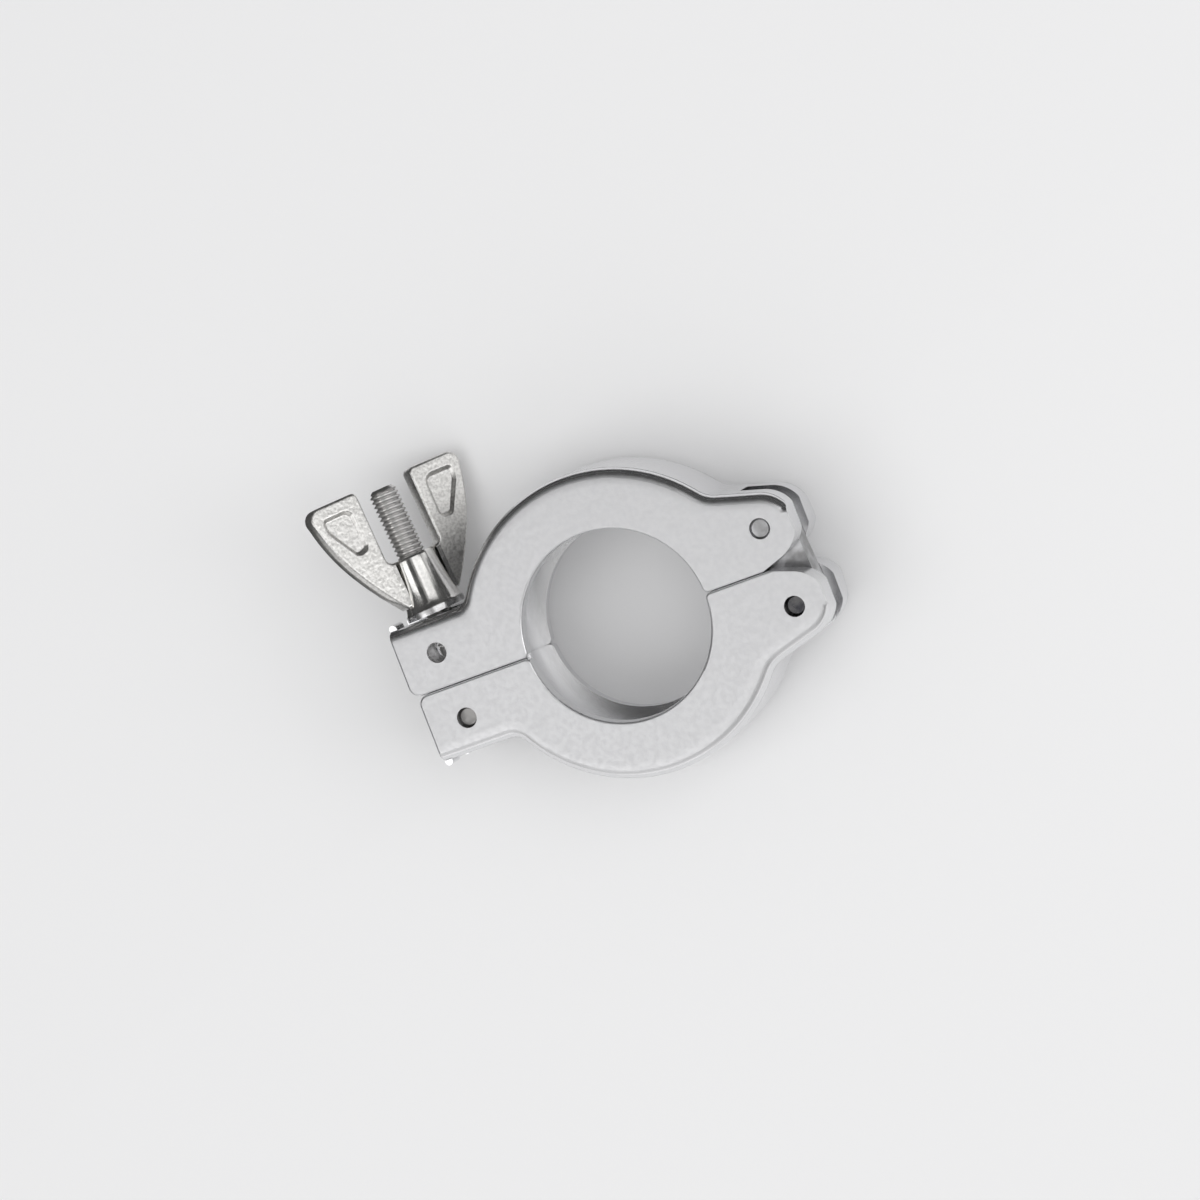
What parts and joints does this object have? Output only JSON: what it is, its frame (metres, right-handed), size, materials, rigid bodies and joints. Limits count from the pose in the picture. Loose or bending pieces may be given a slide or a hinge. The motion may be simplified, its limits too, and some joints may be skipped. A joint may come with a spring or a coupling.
{
  "type": "flange clamp",
  "caption": "Hinged clamp for small vacuum flanges: cast jaws on a link, drawn together round a V-grooved bore by a swing bolt and wing nut.",
  "frame": {"origin": "centre of the bore, on its axis, midway between the front and back faces", "axes": "+Z along the bore axis, which is the axis of the clamped flanges; +X along the split line towards the hinge; +Y across the split line towards the wing nut"},
  "size_m": [0.0794, 0.0629, 0.023],
  "materials": {
    "casting": "tumbled die casting, satin",
    "link": "blanked steel plate, plated",
    "rivets": "cut pin ends",
    "bolt": "bright zinc plate",
    "washer": "bright zinc plate",
    "wing_nut": "bright nickel plate over a stippled casting"
  },
  "bodies": {
    "lower_jaw": {"lower_jaw": "casting", "lower_hinge_pin": "rivets", "bolt_pin": "rivets"},
    "link": {"hinge_link": "link"},
    "upper_jaw": {"upper_jaw": "casting", "upper_hinge_pin": "rivets"},
    "bolt": {"eye_bolt": "bolt"},
    "washer": {"washer": "washer"},
    "nut": {"wing_nut": "wing_nut"}
  },
  "joints": [
    {"name": "lower_hinge", "type": "hinge", "parent": "lower_jaw", "child": "link", "pos_m": [0.0298, -0.0069, 0], "axis": [0, 0, -1], "range_deg": [0, 45]},
    {"name": "upper_hinge", "type": "hinge", "parent": "link", "child": "upper_jaw", "pos_m": [0.029, 0.0069, 0], "axis": [0, 0, -1], "range_deg": [0, 45]},
    {"name": "bolt_swing", "type": "hinge", "parent": "lower_jaw", "child": "bolt", "pos_m": [-0.03035, -0.006, 0], "axis": [0, 0, 1], "range_deg": [0, 95]},
    {"name": "nut_travel", "type": "slide", "parent": "bolt", "child": "washer", "axis": [-0.061, 0.9981, 0], "range_m": [0, 0.016]},
    {"name": "nut_turn", "type": "hinge", "parent": "washer", "child": "nut", "pos_m": [-0.03152, 0.01319, 0], "axis": [-0.061, 0.9981, 0], "range_deg": [0, 7200]}
  ],
  "couplings": [
    {"joint": "nut_travel", "follows": "nut_turn", "m_per_rad": 0.00012732},
    {"joint": "lower_hinge", "follows": "nut_turn", "ratio": 0.00041667},
    {"joint": "upper_hinge", "follows": "nut_turn", "ratio": 0.00041667},
    {"joint": "bolt_swing", "follows": "nut_turn", "ratio": 0.0025}
  ]
}
